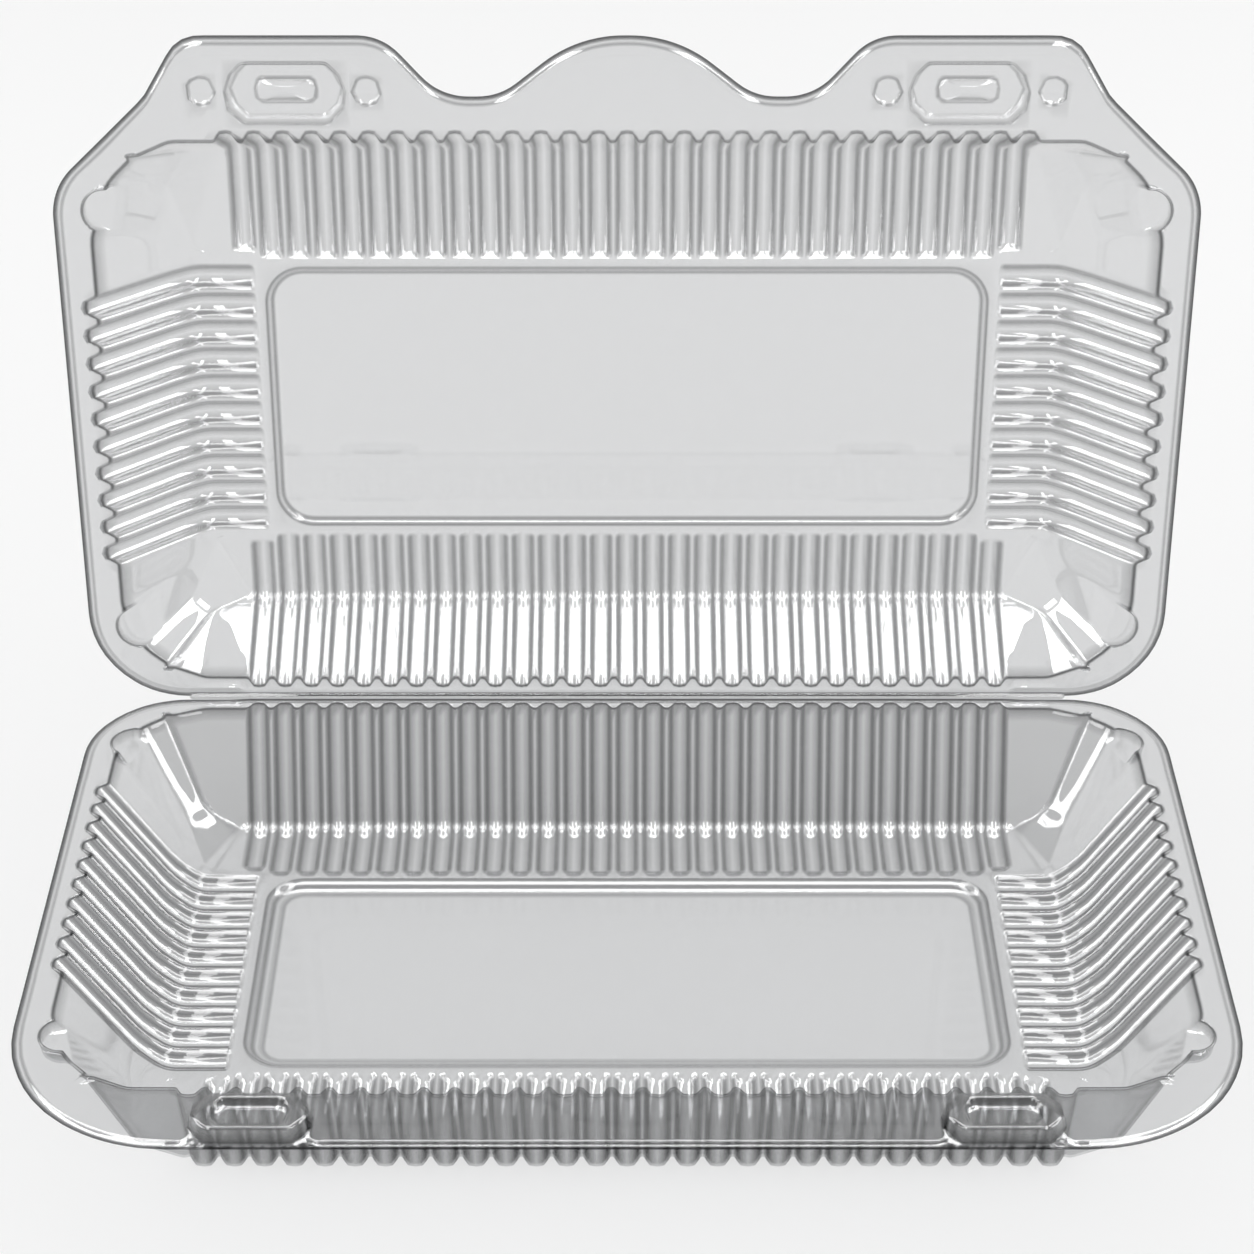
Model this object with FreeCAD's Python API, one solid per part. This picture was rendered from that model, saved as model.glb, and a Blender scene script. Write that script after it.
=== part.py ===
"""Clear thermoformed clamshell pack: a fluted base tray and a fluted lid on a living hinge.

Both halves are drawn in the same sheet coordinates, in millimetres:
    x  along the pack, 0 at its middle
    t  from the hinge line (0) towards the front edge
    d  from the plane in which the two halves meet, into the depth of the half
The base then hangs down from that plane and the lid is turned open about the hinge line.
World frame: X along the pack, -Y the front, +Z up, origin under the middle of the base panel.
"""
import math
import os

import FreeCAD
import Part

# The sheet and the gap that keeps the two flanges apart when the pack is shut
sheet = 0.45
meeting_gap = 0.30

# Mouth of the cavity, the same in both halves so that they close mouth to mouth
mouth_half_length = 110.3
mouth_back = 4.3
mouth_front = 126.4

# Depth from the meeting plane to the floor of each half, and how far the walls lean in
base_depth = 25.3
lid_depth = 19.3
side_draft = 13.4
back_draft = 11.4
front_draft = 7.4
side_knee_run = 4.7
side_knee_drop = 4.2

# Flutes: a land, a slanting flank, a flat crest and a second flank in every pitch
side_flutes = 10
side_pitch = 6.25
long_flutes = 29
long_pitch = 5.82
flute_depth = 1.9
flute_land = 1.2
flute_flank = 1.1
side_flute_middle = 62.7

# Centre panel, and the strip of flat floor between it and the ends of the flutes
panel_half_length = 77.4
panel_back = 32.8
panel_front = 92.8
panel_corner = 8.0
panel_corner_facets = 4
panel_border = 1.9
slot_end_run = 0.8
corner_slot_short = 1.6

# Plain corners, as fractions of the way from the end of the flutes to the next wall
mouth_corner = ((1.0, 0.37), (0.83, 0.745), (0.635, 0.893), (0.335, 1.0))
knee_corner = ((1.0, 0.30), (0.936, 0.75), (0.66, 0.98), (0.66, 0.98))
floor_corner = ((0.92, 0.12), (0.92, 0.12), (0.0, 1.0), (0.0, 1.0))

# Half-round stacking lug beside each corner of the mouth
lug_radius = 4.7
lug_inset = 1.2
lug_depth = 3.0

# Base flange
base_flange_half_length = 116.8
base_flange_front = 142.4
base_back_corner = 20.0
base_front_corner = 33.0

# Lid flange with two latch tabs and a finger tab between them
lid_flange_half_length = 117.5
lid_back_corner = 20.0
lid_shoulder = 116.4
tab_front = 148.1
tab_low = 135.6

# Snap latch: a raised eight-sided block on the base, a matching hood in each lid tab
latch_x = 69.0
latch_t = 136.4
latch_length = 22.6
latch_width = 10.8
latch_height = 3.4
latch_cut = 3.2
latch_taper = 0.6
latch_clearance = 0.7
pocket_length = 13.8
pocket_width = 6.4
pocket_depth = 1.8
pocket_clearance = 0.6

# Round buttons beside the hoods
button_x = (52.5, 85.9)
button_t = 137.0
button_radius = 2.9
button_height = 0.9

# Small round features are turned in this many flat facets
round_sides = 12

# Living hinge: a round bead on the hinge line, fused to the lid
hinge_half_length = 97.0
hinge_bead_radius = 0.80
hinge_gap = 0.35

lid_open_angle = 97.4

long_half_span = long_flutes * long_pitch / 2
side_half_span = side_flutes * side_pitch / 2
face = meeting_gap / 2
stand_height = base_depth + flute_depth + sheet
origin_t = (panel_back + panel_front) / 2


def vec(x, t, d):
    """Point of a half in sheet coordinates."""
    return FreeCAD.Vector(x, t, d)


def mitre(before, after):
    """Shift of a bend of a section, per unit of outward offset of its two straight runs."""
    normals = []
    for run_r, run_d in (before, after):
        length = math.hypot(run_r, run_d)
        normals.append((run_d / length, -run_r / length))
    (ar, ad), (br, bd) = normals
    scale = 1 / (1 + ar * br + ad * bd)
    return ((ar + br) * scale, (ad + bd) * scale)


def offset_section(points, offset, top):
    """Section of a wall, points (outward, deep), moved outward by the offset.

    The first point slides along its run to the plane d = top, the last run is level.
    """
    runs = []
    for (r0, d0), (r1, d1) in zip(points, points[1:]):
        runs.append((r1 - r0, d1 - d0))
    moved = []
    for index, (r, d) in enumerate(points[1:], start=1):
        after = runs[index] if index < len(runs) else (-1.0, 0.0)
        shift_r, shift_d = mitre(runs[index - 1], after)
        moved.append((r + offset * shift_r, d + offset * shift_d))
    (r0, d0), (r1, d1) = points[0], points[1]
    slope = (r1 - r0) / (d1 - d0)
    first_r, first_d = moved[0]
    moved.insert(0, (first_r - slope * (first_d - top), top))
    return moved


def flute_marks(count, pitch, offset):
    """Corners of a row of flutes centred on 0: pairs (place along the row, is it a crest)."""
    turn = math.atan2(flute_depth, flute_flank)
    spread = offset * math.tan(turn / 2)
    marks = []
    for index in range(count):
        start = (index - count / 2) * pitch
        for place, crest in (
            (flute_land / 2 - spread, False),
            (flute_land / 2 + flute_flank - spread, True),
            (pitch - flute_land / 2 - flute_flank + spread, True),
            (pitch - flute_land / 2 + spread, False),
        ):
            marks.append((start + place, crest))
    return marks


def wall_sections(depth, offset):
    """Sections of the side, back and front walls: lands and crests at four levels."""
    top = face + offset
    side = [
        (mouth_half_length, 0.0),
        (mouth_half_length - side_draft, depth - side_knee_drop),
        (mouth_half_length - side_draft - side_knee_run, depth),
        (panel_half_length + panel_border, depth),
    ]
    back = [
        (-mouth_back, 0.0),
        (-mouth_back - back_draft, depth),
        (-panel_back + panel_border, depth),
    ]
    front = [
        (mouth_front, 0.0),
        (mouth_front - front_draft, depth),
        (panel_front + panel_border, depth),
    ]
    result = {}
    for name, points in (("side", side), ("back", back), ("front", front)):
        land = offset_section(points, offset, top)
        crest = offset_section(points, offset + flute_depth, top)
        end_r, end_d = crest[-1]
        spread = offset * math.tan(math.atan2(flute_depth, slot_end_run) / 2)
        land[-1] = (land[-1][0] - spread, land[-1][1])
        crest[-1] = (end_r + slot_end_run - spread, end_d)
        if len(points) == 3:
            land.insert(1, land[1])
            crest.insert(1, crest[1])
        result[name] = (land, crest)
    return result


def corner_points(sections, level, sign_x, wall, fractions):
    """Corner vertices of one level between the side flutes and those of the back or front."""
    side_r, side_d = sections["side"][0][level]
    wall_r, wall_d = sections[wall][0][level]
    wall_t = wall_r if wall == "front" else -wall_r
    start_t = side_flute_middle + (side_half_span if wall == "front" else -side_half_span)
    points = []
    for along, across in fractions:
        x = long_half_span + (side_r - long_half_span) * along
        t = start_t + (wall_t - start_t) * across
        d = side_d if across < 0.99 and along > 0.5 else wall_d
        points.append(vec(sign_x * x, t, d))
    return points


def level_ring(sections, level, offset, fractions):
    """Closed ring of one level, anticlockwise from the back end of the +x side."""
    side_land, side_crest = sections["side"]
    side_marks = flute_marks(side_flutes, side_pitch, offset)
    long_marks = flute_marks(long_flutes, long_pitch, offset)

    def side_points(sign_x):
        points = []
        for place, crest in side_marks:
            r, d = (side_crest if crest else side_land)[level]
            points.append(vec(sign_x * r, side_flute_middle + place, d))
        return points

    def long_points(wall):
        land, crest_line = sections[wall]
        points = []
        for place, crest in long_marks:
            r, d = (crest_line if crest else land)[level]
            points.append(vec(place, r if wall == "front" else -r, d))
        return points

    ring = side_points(1)
    ring += corner_points(sections, level, 1, "front", fractions)
    ring += long_points("front")[::-1]
    ring += corner_points(sections, level, -1, "front", fractions)[::-1]
    ring += side_points(-1)[::-1]
    ring += corner_points(sections, level, -1, "back", fractions)
    ring += long_points("back")
    ring += corner_points(sections, level, 1, "back", fractions)[::-1]
    return ring


def facet(points):
    """Plane faces through a few points: one if they lie in a plane, otherwise triangles."""
    kept = []
    for point in points:
        if all(point.distanceToPoint(other) > 1e-5 for other in kept):
            kept.append(point)
    if len(kept) < 3:
        return []
    if len(kept) == 4:
        normal = (kept[1] - kept[0]).cross(kept[2] - kept[0])
        off_plane = abs((kept[3] - kept[0]).dot(normal)) / max(normal.Length, 1e-9)
        if off_plane > 1e-6:
            return facet(kept[:3]) + facet([kept[0], kept[2], kept[3]])
    return [Part.Face(Part.makePolygon(kept + [kept[0]]))]


def band(upper, lower):
    """Faces between two rings of the same number of points."""
    faces = []
    for index in range(len(upper)):
        following = (index + 1) % len(upper)
        faces += facet([upper[index], upper[following], lower[following], lower[index]])
    return faces


def rounded_ring(half_length, back, front, radius, d):
    """Ring of points round a rectangle whose corners are turned in a few flat facets."""
    ring = []
    centres = (
        (half_length - radius, back + radius, -90),
        (half_length - radius, front - radius, 0),
        (radius - half_length, front - radius, 90),
        (radius - half_length, back + radius, 180),
    )
    for x, t, start in centres:
        for step in range(panel_corner_facets + 1):
            angle = math.radians(start + 90 * step / panel_corner_facets)
            ring.append(vec(x + radius * math.cos(angle), t + radius * math.sin(angle), d))
    return ring


def closed_wire(ring):
    """Closed wire through the points of a ring, each met once."""
    kept = []
    for point in ring:
        if not kept or point.distanceToPoint(kept[-1]) > 1e-5:
            kept.append(point)
    return Part.makePolygon(kept + [kept[0]])


def rounded_outline(corners, radii):
    """Closed wire through the corners in turn, each rounded to its radius."""
    count = len(corners)
    starts = []
    ends = []
    middles = []
    for index in range(count):
        corner = corners[index]
        toward_last = (corners[index - 1] - corner).normalize()
        toward_next = (corners[(index + 1) % count] - corner).normalize()
        half_angle = toward_last.getAngle(toward_next) / 2
        reach = radii[index] / math.tan(half_angle)
        starts.append(corner + toward_last * reach)
        ends.append(corner + toward_next * reach)
        bisector = (toward_last + toward_next).normalize()
        gap = radii[index] / math.sin(half_angle) - radii[index]
        middles.append(corner + bisector * gap)
    edges = []
    for index in range(count):
        following = (index + 1) % count
        edges.append(Part.Arc(starts[index], middles[index], ends[index]).toShape())
        if ends[index].distanceToPoint(starts[following]) > 1e-5:
            edges.append(Part.makeLine(ends[index], starts[following]))
    return Part.Wire(edges)


def panel_faces(depth, offset, steps):
    """Stepped edge of the centre panel and the panel itself, with the ring round its top."""
    runs = [(-1.0, 0.0)] + [(-run, drop) for run, drop in steps] + [(-1.0, 0.0)]
    inset = 0.0
    deep = depth
    rings = []
    for index in range(len(runs) - 1):
        shift_r, shift_d = mitre(runs[index], runs[index + 1])
        grow = offset * shift_r - inset
        rings.append(
            rounded_ring(
                panel_half_length + grow,
                panel_back - grow,
                panel_front + grow,
                panel_corner + grow,
                deep + offset * shift_d,
            )
        )
        if index < len(steps):
            inset += steps[index][0]
            deep += steps[index][1]
    faces = [Part.Face(closed_wire(rings[-1]))]
    for upper, lower in zip(rings, rings[1:]):
        faces += band(upper, lower)
    return faces, rings[0]


def skin(depth, offset, steps):
    """One side of the formed sheet inside the mouth: its faces and the ring at the mouth."""
    sections = wall_sections(depth, offset)
    mouth = level_ring(sections, 0, offset, mouth_corner)
    knee = level_ring(sections, 1, offset, knee_corner)
    floor = level_ring(sections, 2, offset, floor_corner)
    faces = band(mouth, knee) + band(knee, floor)
    slot_ends = slot_end_points(sections, offset)
    outline = []
    total = len(floor)
    index = 0
    while index < total:
        if index in slot_ends:
            tips = slot_ends[index]
            heads = floor[index:index + 4]
            for step in range(3):
                quad = [heads[step], heads[step + 1], tips[step + 1], tips[step]]
                faces += facet(quad)
            faces += facet(tips)
            outline += [heads[0], tips[0], tips[3], heads[3]]
            index += 4
        else:
            outline.append(floor[index])
            index += 1
    panel, hole = panel_faces(depth, offset, steps)
    floor_face = Part.Face([closed_wire(outline), closed_wire(hole)])
    floor_face.validate()
    return faces + [floor_face] + panel, mouth


def slot_end_points(sections, offset):
    """Inner ends of the floor slots, keyed by where each flute starts in a level's ring."""
    ends = {}
    position = 0
    plan = (("side", 1, 1), ("front", -1, 0), ("side", -1, -1), ("back", 1, 0))
    for wall, direction, sign_x in plan:
        count = side_flutes if wall == "side" else long_flutes
        pitch = side_pitch if wall == "side" else long_pitch
        marks = flute_marks(count, pitch, offset)
        land, crest_line = sections[wall]
        if direction < 0 or sign_x < 0:
            marks = marks[::-1]
        for flute in range(count):
            first_or_last = flute in (0, count - 1)
            extra = corner_slot_short if first_or_last and wall != "side" else 0.0
            tips = []
            for place, crest in marks[4 * flute:4 * flute + 4]:
                r, d = (crest_line if crest else land)[3]
                r += extra
                if wall == "side":
                    tips.append(vec(sign_x * r, side_flute_middle + place, d))
                else:
                    tips.append(vec(place, r if wall == "front" else -r, d))
            ends[position] = tips
            position += 4
        position += len(mouth_corner)
    return ends


def solid_of(faces):
    """Closed solid sewn from its faces, with its volume positive."""
    shell = Part.makeShell(faces)
    shell.sewShape()
    solid = Part.makeSolid(shell)
    if solid.Volume < 0:
        solid.reverse()
    return solid


def formed_half(depth, outline, steps):
    """Flange and cavity of one half, a sheet of even thickness with its two skins."""
    inner, inner_mouth = skin(depth, 0.0, steps)
    outer, outer_mouth = skin(depth, sheet, steps)
    below = outline.copy()
    below.translate(vec(0, 0, sheet))
    faces = inner + outer
    for wire, ring in ((outline, inner_mouth), (below, outer_mouth)):
        flange = Part.Face([wire, closed_wire(ring)])
        flange.validate()
        faces.append(flange)
    for edge in outline.Edges:
        faces.append(edge.extrude(vec(0, 0, sheet)))
    return solid_of(faces)


def cavity_plug(depth, steps):
    """Solid that fills the cavity to the middle of its wall."""
    faces, mouth = skin(depth, sheet / 2, steps)
    faces.append(Part.Face(closed_wire(mouth)))
    return solid_of(faces)


def lug_middles():
    """Centres of the four stacking lugs, a little inside the long facet of each corner."""
    middles = []
    for wall_t, sign_t in ((mouth_front, 1), (mouth_back, -1)):
        start_t = side_flute_middle + sign_t * side_half_span
        ends = []
        for along, across in mouth_corner[:2]:
            x = long_half_span + (mouth_half_length - long_half_span) * along
            ends.append(vec(x, start_t + (wall_t - start_t) * across, 0))
        facet_line = ends[1] - ends[0]
        outward = vec(abs(facet_line.y), sign_t * abs(facet_line.x), 0).normalize()
        middle = (ends[0] + ends[1]) * 0.5 - outward * lug_inset
        middles += [(middle.x, middle.y), (-middle.x, middle.y)]
    return middles


def lugs(depth, steps):
    """Half-round shelves that open from the mouth into the flange: what is added and cut."""
    plug = cavity_plug(depth, steps)
    outer = []
    inner = []
    for x, t in lug_middles():
        floor = face + lug_depth
        outer.append(round_block(x, t, lug_radius + sheet, face + sheet / 2, floor + sheet, 0.95))
        inner.append(round_block(x, t, lug_radius, face - 0.5, floor, 0.95))
    return [Part.makeCompound(outer).cut(plug)], inner


def block(x, length, width, cut, d0, d1, taper):
    """Solid on a latch centre: a rectangle with cut corners that leans in from d0 to d1."""
    rings = []
    for inset, d in ((0.0, d0), (taper, d1)):
        half_x = length / 2 - inset
        half_t = width / 2 - inset
        trim = cut - 0.4 * inset
        ring = []
        for sign_x, sign_t, swap in ((1, -1, 0), (1, 1, 1), (-1, 1, 0), (-1, -1, 1)):
            pair = [
                vec(x + sign_x * (half_x - trim), latch_t + sign_t * half_t, d),
                vec(x + sign_x * half_x, latch_t + sign_t * (half_t - trim), d),
            ]
            ring += pair[::-1] if swap else pair
        rings.append(ring)
    return solid_of(caps_and_band(rings))


def caps_and_band(rings):
    """Faces of a solid between two parallel rings."""
    ends = [Part.Face(closed_wire(ring)) for ring in rings]
    return ends + band(rings[0], rings[1])


def base_latch(x):
    """Raised block that stands from the base flange towards the lid, with a pocket on top."""
    top = face - latch_height
    outer = block(x, latch_length, latch_width, latch_cut, face + sheet, top, latch_taper)
    hollow = block(
        x, latch_length - 2 * sheet, latch_width - 2 * sheet, latch_cut - 0.6 * sheet,
        face + sheet + 0.5, top + sheet, latch_taper,
    )
    cup = block(
        x, pocket_length + 2 * sheet, pocket_width + 2 * sheet, 1.6,
        top, top + pocket_depth + sheet, 0.3,
    )
    pocket = block(x, pocket_length, pocket_width, 1.4, top - 0.5, top + pocket_depth, 0.3)
    return [outer], [hollow.cut(cup), pocket]


def lid_hood(x):
    """Hood in a lid tab that drops over the block, with a boss for the block's pocket."""
    length = latch_length + 2 * latch_clearance
    width = latch_width + 2 * latch_clearance
    cut = latch_cut + 0.4 * latch_clearance
    room = latch_height + meeting_gap
    outer = block(
        x, length + 2 * sheet, width + 2 * sheet, cut + 0.6 * sheet,
        face, face + room + sheet, latch_taper,
    )
    hollow = block(x, length, width, cut, face - 0.5, face + room, latch_taper)
    boss_length = pocket_length - 2 * pocket_clearance
    boss_width = pocket_width - 2 * pocket_clearance
    boss_reach = pocket_depth - pocket_clearance
    boss = block(
        x, boss_length, boss_width, 1.2,
        face + room + sheet, face + room - boss_reach, 0.3,
    )
    dent = block(
        x, boss_length - 2 * sheet, boss_width - 2 * sheet, 1.0,
        face + room + sheet + 0.5, face + room - boss_reach + sheet, 0.3,
    )
    return [outer], [hollow.cut(boss), dent]


def button(x):
    """Round button pressed outward from a lid tab, turned in flat facets."""
    end = face + button_height
    outer = round_block(x, button_t, button_radius + sheet, face, end + sheet, 0.8)
    hollow = round_block(x, button_t, button_radius, face - 0.5, end, 0.8)
    return [outer], [hollow]


def round_block(x, t, radius, d0, d1, taper):
    """Small round solid turned in flat facets, with its far end scaled by the taper."""
    rings = []
    for reach, d in ((radius, d0), (radius * taper, d1)):
        ring = []
        for side in range(round_sides):
            angle = 2 * math.pi * side / round_sides
            ring.append(vec(x + reach * math.cos(angle), t + reach * math.sin(angle), d))
        rings.append(ring)
    return solid_of(caps_and_band(rings))


def with_features(half, features):
    """Half with everything the features add, then everything they cut away."""
    added = []
    removed = []
    for adds, cuts in features:
        added += adds
        removed += cuts
    return half.fuse(added).cut(removed)


def base_outline():
    """Plan of the base flange: small back corners by the hinge, large front corners."""
    back = hinge_bead_radius + hinge_gap
    corners = [
        vec(base_flange_half_length, back, face),
        vec(base_flange_half_length, base_flange_front, face),
        vec(-base_flange_half_length, base_flange_front, face),
        vec(-base_flange_half_length, back, face),
    ]
    radii = [base_back_corner, base_front_corner, base_front_corner, base_back_corner]
    return rounded_outline(corners, radii)


def lid_outline():
    """Plan of the lid flange: cut shoulders, two latch tabs and the finger tab."""
    half = [
        (lid_flange_half_length, 0.0, lid_back_corner),
        (lid_flange_half_length, lid_shoulder, 14.0),
        (97.2, tab_low, 8.0),
        (89.6, tab_front, 7.0),
        (49.2, tab_front, 8.0),
        (37.8, tab_low, 8.0),
        (25.6, tab_low, 8.0),
        (9.6, tab_front, 24.0),
    ]
    corners = [vec(x, t, face) for x, t, radius in half]
    corners += [vec(-x, t, face) for x, t, radius in half[::-1]]
    radii = [radius for x, t, radius in half]
    return rounded_outline(corners, radii + radii[::-1])


def hinge_bead():
    """Round bead along the hinge line."""
    return Part.makeCylinder(
        hinge_bead_radius, 2 * hinge_half_length, vec(-hinge_half_length, 0, 0), vec(1, 0, 0)
    )


def build_base():
    """Base tray, hanging from the meeting plane."""
    steps = ((1.5, 0.7 * flute_depth), (2.2, 0.3 * flute_depth))
    half = formed_half(base_depth, base_outline(), steps)
    features = [lugs(base_depth, steps), base_latch(latch_x), base_latch(-latch_x)]
    half = with_features(half, features)
    half.rotate(FreeCAD.Vector(0, 0, 0), FreeCAD.Vector(1, 0, 0), 180)
    half.translate(FreeCAD.Vector(0, origin_t, stand_height))
    return half


def build_lid():
    """Lid, turned open about the hinge line."""
    steps = ((1.3, 1.2),)
    half = formed_half(lid_depth, lid_outline(), steps)
    features = [lugs(lid_depth, steps), ([hinge_bead()], [])]
    for sign_x in (1, -1):
        features.append(lid_hood(sign_x * latch_x))
        for x in button_x:
            features.append(button(sign_x * x))
    half = with_features(half, features)
    half.rotate(FreeCAD.Vector(0, 0, 0), FreeCAD.Vector(0, 0, 1), 180)
    half.rotate(FreeCAD.Vector(0, 0, 0), FreeCAD.Vector(1, 0, 0), -lid_open_angle)
    half.translate(FreeCAD.Vector(0, origin_t, stand_height))
    return half


def main():
    """Build and export both halves."""
    os.makedirs("parts", exist_ok=True)
    for name, shape in (("base_tray", build_base()), ("lid", build_lid())):
        shape.exportStep("parts/" + name + ".step")


main()
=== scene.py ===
"""Clear fluted clamshell pack, open on its hinge, on a pale floor.

Sheet coordinates of each half, in millimetres: x along the pack, t from the hinge line
towards the front edge, d from the plane where the halves meet into the depth of the half.
Each half is one grid. Its columns go round the half as a closed ring, and its rows go inward
from the flange edge: over the mouth, down the fluted wall and across the floor to the middle.
Arrays over columns hold the right half, from the middle of the back to that of the front.
Greys are painted shade that the material reads: nothing where the sheet is flat, and about
one where it bends or stands on edge, darkening it there in place of the dark outlines that
bent light gives.
"""

import math

import bmesh
import bpy
import numpy as np
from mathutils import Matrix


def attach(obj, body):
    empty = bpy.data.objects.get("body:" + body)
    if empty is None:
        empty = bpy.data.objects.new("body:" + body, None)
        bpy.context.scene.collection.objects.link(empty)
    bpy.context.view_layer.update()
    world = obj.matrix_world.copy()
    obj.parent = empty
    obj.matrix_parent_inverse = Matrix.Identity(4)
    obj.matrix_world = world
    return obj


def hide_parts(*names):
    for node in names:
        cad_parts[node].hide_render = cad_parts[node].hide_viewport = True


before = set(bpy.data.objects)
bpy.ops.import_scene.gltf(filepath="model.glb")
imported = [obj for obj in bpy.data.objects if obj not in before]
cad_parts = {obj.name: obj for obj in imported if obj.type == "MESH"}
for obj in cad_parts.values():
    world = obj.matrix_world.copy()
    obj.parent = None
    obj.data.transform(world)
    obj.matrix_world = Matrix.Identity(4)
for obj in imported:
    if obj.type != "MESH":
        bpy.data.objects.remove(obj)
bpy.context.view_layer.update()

TINY = 1e-6
PER_METRE = 1000

# The sheet's thickness, and how far the flange's face lies from the plane where the halves meet
SHEET, FACE = 0.45, 0.15

# World place of the hinge line, and how far the lid is turned up from lying flat
HINGE_Y, HINGE_Z = 62.8, 27.65
LID_ANGLE = math.radians(82.6)

# Where the walls start at the mouth, how deep they go and how far they lean in
MOUTH_SIDE, MOUTH_BACK, MOUTH_FRONT = 110.3, 4.3, 126.4
BASE_DEPTH, LID_DEPTH = 25.3, 19.3
SIDE_DRAFT, BACK_DRAFT, FRONT_DRAFT = 13.4, 11.4, 7.4

# Rows of a wall between mouth and knee: the first in millimetres, the others as shares
BELOW_MOUTH, WALL_SHARES = 0.7, (0.40, 0.62, 0.82)

# Knee between wall and floor: how far it runs in and drops, how far its two bends reach along
# the straight runs, and the most that they may take of a run
KNEE_RUN, KNEE_DROP = 4.7, 4.2
KNEE_REACH, FLOOR_REACH, LONGEST_REACH = 2.4, 1.9, 0.45
KNEE_STEPS, FLOOR_STEPS = (0.0, 0.5, 1.0), (0.0, 0.25, 0.5, 0.75, 1.0)

# Rows of flutes along the long walls and the side walls, half the length of each row, and
# the least fall that is reckoned with where flutes slide along a wall
LONG_FLUTES, LONG_PITCH = 29, 5.82
SIDE_FLUTES, SIDE_PITCH, SIDE_MIDDLE = 10, 6.25, 62.7
LONG_SPAN = LONG_FLUTES * LONG_PITCH / 2
SIDE_SPAN = SIDE_FLUTES * SIDE_PITCH / 2
LEAST_FALL = 0.3

# One pitch of a flute: how far along it, how far out and how much painted shade each of its
# samples gets, most on the steep flanks
PITCH_PLACES = np.array([0.0, 0.10, 0.20, 0.30, 0.50, 0.70, 0.80, 0.90])
PITCH_HEIGHTS = np.array([0.0, 0.12, 0.95, 1.72, 1.90, 1.72, 0.95, 0.12])
PITCH_GREYS = np.array([0.0, 0.5, 1.0, 0.4, 0.0, 0.4, 1.0, 0.5])

# Corners of the mouth, the knee and the floor: how far along x, then along t, each inner
# point of the chain from the side flutes to the long flutes lies
MOUTH_CORNER = ((1.0, 0.37), (0.83, 0.745), (0.635, 0.893), (0.335, 1.0))
KNEE_CORNER = ((1.0, 0.30), (0.936, 0.75), (0.66, 0.98), (0.66, 0.98))
FLOOR_CORNER = ((0.92, 0.12), (0.92, 0.12), (0.0, 1.0), (0.0, 1.0))
CHAIN_END = 5
SOFTENING = 0.10

# Half-round lug on a corner's long facet: its radius, how far its centre lies inside the
# mouth, its depth, its samples and their middle on the chain, how it shrinks from row to row,
# and how close above and below its shelf the rows lie, as a share of the wall
LUG_RADIUS, LUG_INSET, LUG_DEPTH = 4.7, 1.2, 3.0
LUG_SAMPLES, LUG_MIDDLE = 15, 1.5
LUG_SHRINK, LUG_SHELF = (1.0, 0.99, 0.94), 0.008

# Samples of a corner, counted in chain points passed, before and after the lug. They are
# close together where a narrow groove runs down the wall. The groove: its place, its width
# in chain points, its depth in millimetres and how quickly it fades towards the knee
BEFORE_LUG = np.linspace(0, 1, 8)[1:]
AFTER_LUG = np.concatenate([
    np.linspace(2, 2.75, 4), [2.84, 2.90, 2.95, 3.0, 3.05, 3.10, 3.16],
    np.linspace(3.3, 4, 5), np.linspace(4, 5, 7)[1:-1],
])
GROOVE_PLACE, GROOVE_WIDTH, GROOVE_DEPTH, GROOVE_FADE = 3, 0.09, 0.9, 4

# Panel in the floor, the collar between it and the floor slots, and how much of its length
# the line along its middle has
PANEL_SIDE, PANEL_BACK, PANEL_FRONT, PANEL_CORNER = 77.4, 32.8, 92.8, 8.0
PANEL_MIDDLE = (PANEL_BACK + PANEL_FRONT) / 2
COLLAR = 1.9
MIDDLE_LINE = 0.8

# Steps of the panel's edge: how far outside its outline, how far past the floor, and how much
# painted shade
BASE_STEPS = (
    (0.5, 0.0, 0.1), (0.0, 0.1, 1.0), (-0.8, 0.75, 0.3), (-1.5, 1.28, 0.9),
    (-2.3, 1.55, 0.1), (-3.6, 1.87, 0.6), (-4.2, 1.9, 0.0), (-8.0, 1.9, 0.0),
)
LID_STEPS = (
    (0.5, 0.0, 0.1), (0.0, 0.1, 1.0), (-0.65, 0.6, 0.15),
    (-1.2, 1.08, 0.9), (-1.8, 1.2, 0.0), (-8.0, 1.2, 0.0),
)

# Last rows of the floor slots: how far before the collar, and their share of a flute's height
SLOT_ROWS = ((1.5, 1.0), (0.9, 0.5), (0.4, 0.0))

# How much shorter the last slot of a long row is, and where the columns of a corner gather
LAST_SLOT_SHORT = 1.6
GATHER_X, GATHER_GAP = 85.2, 0.3

# Bead on the flange edge: how far in, how far past the face and how much painted shade each of
# its rows gets
BEAD_ROWS = (
    (0.0, 0.10, 1.5), (0.35, 0.42, 1.1), (0.8, 0.45, 0.0), (1.3, 0.14, 0.7), (1.9, 0.0, 0.0),
)

# Flange outlines of the right half and the radius of each inner corner
BASE_OUTLINE = ((0, 1.15), (116.8, 1.15), (116.8, 142.4), (0, 142.4))
BASE_RADII = (20.0, 33.0)
LID_OUTLINE = (
    (0, 0), (117.5, 0), (117.5, 116.4), (97.2, 135.6), (89.6, 148.1),
    (49.2, 148.1), (37.8, 135.6), (25.6, 135.6), (9.6, 148.1), (0, 148.1),
)
LID_RADII = (20.0, 14.0, 8.0, 7.0, 11.0, 13.0, 13.0, 26.0)
ARC_STEPS = 13

# Flange rows from the bead to the line clear of the scallops, as shares of the way
BASE_ACROSS = (0.25, 0.5, 0.75, 1.0)
LID_ACROSS = (0.15, 0.31, 0.55, 0.78, 1.0)
NARROW_FLANGE = 4.0

# Lip and clear line: how far from the mouth and the scallops towards the flange edge, and at
# most what share of that way
SCALLOP_REACH = 2.0
LIP, CLEAR = (0.6, 0.15), (0.8, 0.25)

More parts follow.
